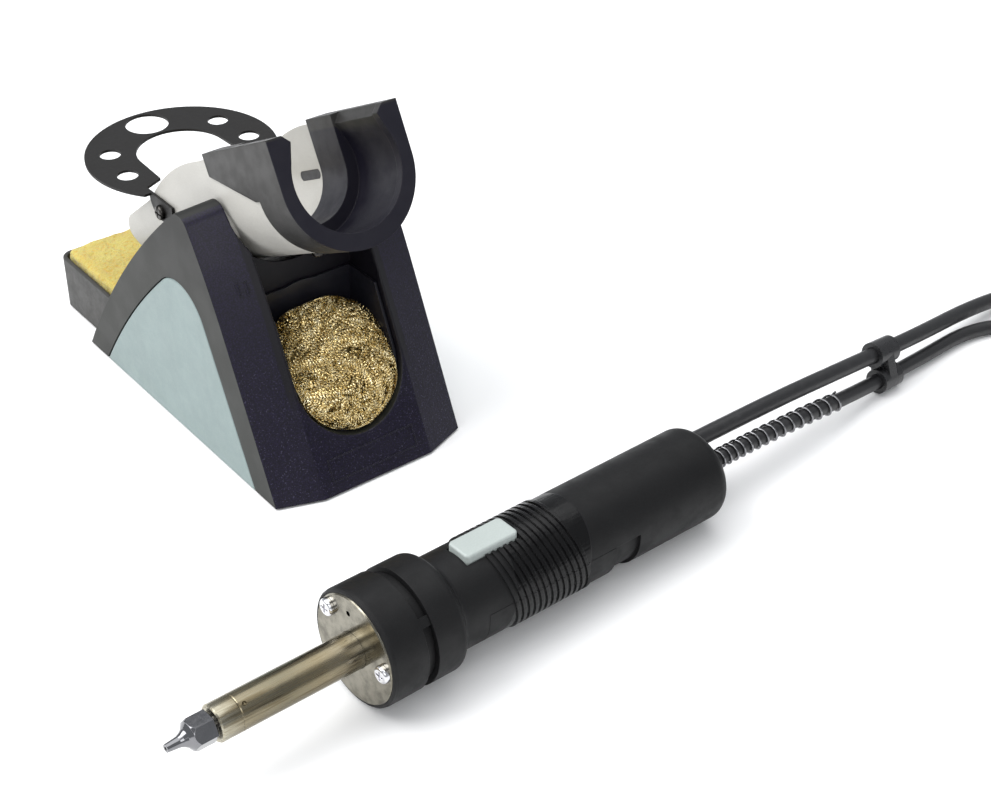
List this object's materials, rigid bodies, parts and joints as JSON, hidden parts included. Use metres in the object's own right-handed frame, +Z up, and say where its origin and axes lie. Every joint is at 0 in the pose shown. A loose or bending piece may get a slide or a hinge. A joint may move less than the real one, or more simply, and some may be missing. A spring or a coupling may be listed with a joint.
{
  "type": "soldering iron station",
  "caption": "Bench stand with a tilting holder, nozzle rack, sponge drawer and brass wool, and a corded desoldering iron lying in front of it.",
  "frame": {"origin": "on the bench under the middle of the stand's base", "axes": "+X right of someone facing the stand, +Y from its front to its back, +Z up"},
  "size_m": [0.5146, 0.3554, 0.1314],
  "materials": {
    "stand_grey": "fine matte texture",
    "panel_turquoise": "satin",
    "steel": "brushed",
    "bright_metal": "polished",
    "dark_metal": "satin",
    "cast_weight": "rough",
    "black_rubber": "matte",
    "brass_part": "machined",
    "inner_plastic": "matte",
    "cradle_white": "satin",
    "collar_grey": "fine matte texture",
    "rack_black": "satin",
    "tray_grey": "fine matte texture",
    "sponge_yellow": "open cells",
    "cup_black": "satin",
    "brass_wool": "curled shavings",
    "heat_tinted_steel": "heat tinted",
    "ceramic": "fired",
    "nickel_plate": "polished",
    "handle_black": "fine matte texture",
    "button_pale": "satin",
    "spring_steel": "bright wire",
    "circuit_board": "satin",
    "collector_glass": "clear",
    "seal_rubber": "matte",
    "filter_felt": "felt",
    "cord_black": "satin",
    "plug_black": "matte"
  },
  "bodies": {
    "stand": {"base_shell": "stand_grey", "side_panel_right": "panel_turquoise", "side_panel_left": "panel_turquoise", "base_plate": "steel", "base_screws": "bright_metal", "ballast_block": "cast_weight", "rubber_feet": "black_rubber", "pivot_bushes": "brass_part"},
    "holder": {"holder_cradle": "cradle_white", "holder_collar": "collar_grey", "collar_screw": "bright_metal", "slot_inserts": "inner_plastic", "rack_screws": "dark_metal", "friction_washers": "inner_plastic"},
    "rack": {"nozzle_rack": "rack_black"},
    "tray": {"sponge_tray": "tray_grey", "sponge": "sponge_yellow"},
    "wool": {"wool_cup": "cup_black", "brass_wool": "brass_wool"},
    "iron": {"nozzle": "bright_metal", "heater_barrel": "heat_tinted_steel", "heating_element": "ceramic", "suction_tube": "steel", "nose_plate": "nickel_plate", "plate_screws": "bright_metal", "nose_ring": "handle_black", "handle_shell": "handle_black", "switch_board": "circuit_board", "microswitch": "inner_plastic", "solder_collector": "collector_glass", "collector_seals": "seal_rubber", "collector_filter": "filter_felt", "inner_hose": "seal_rubber", "hose_nipple": "brass_part", "handle_glands": "black_rubber", "terminal_board": "circuit_board", "strain_spring": "spring_steel", "cable_clip": "black_rubber", "hose_tube": "cord_black", "cable_tube": "cord_black", "hose_coil": "cord_black", "cable_coil": "cord_black", "hose_tail": "cord_black", "cable_tail": "cord_black", "plug_body": "plug_black", "plug_nut": "bright_metal", "plug_pins": "brass_part", "hose_fitting": "brass_part"},
    "trigger": {"trigger_button": "button_pale", "button_spring": "spring_steel"},
    "cover": {"collector_cover": "handle_black"}
  },
  "joints": [
    {"name": "holder_tilt", "type": "hinge", "parent": "stand", "child": "holder", "pos_m": [0, -0.017, 0.086], "axis": [1, 0, 0], "range_deg": [-3, 20]},
    {"name": "rack_swing", "type": "hinge", "parent": "holder", "child": "rack", "pos_m": [0, 0.02347, 0.07297], "axis": [1, 0, 0], "range_deg": [-20, 25]},
    {"name": "tray_slide", "type": "slide", "parent": "stand", "child": "tray", "axis": [0, 1, 0], "range_m": [0, 0.08]},
    {"name": "wool_slide", "type": "slide", "parent": "stand", "child": "wool", "axis": [0, -1, 0], "range_m": [0, 0.045]},
    {"name": "iron_lift", "type": "slide", "parent": "stand", "child": "iron", "axis": [0, 0, 1], "range_m": [0, 0.12]},
    {"name": "trigger_press", "type": "slide", "parent": "iron", "child": "trigger", "axis": [-0.0284, -0.0014, -0.9996], "range_m": [0, 0.0015], "stiffness_N_per_m": 300, "springref_m": -0.002, "deforming": ["button_spring"]},
    {"name": "cover_off", "type": "slide", "parent": "iron", "child": "cover", "axis": [-0.0284, -0.0014, -0.9996], "range_m": [0, 0.02]}
  ]
}
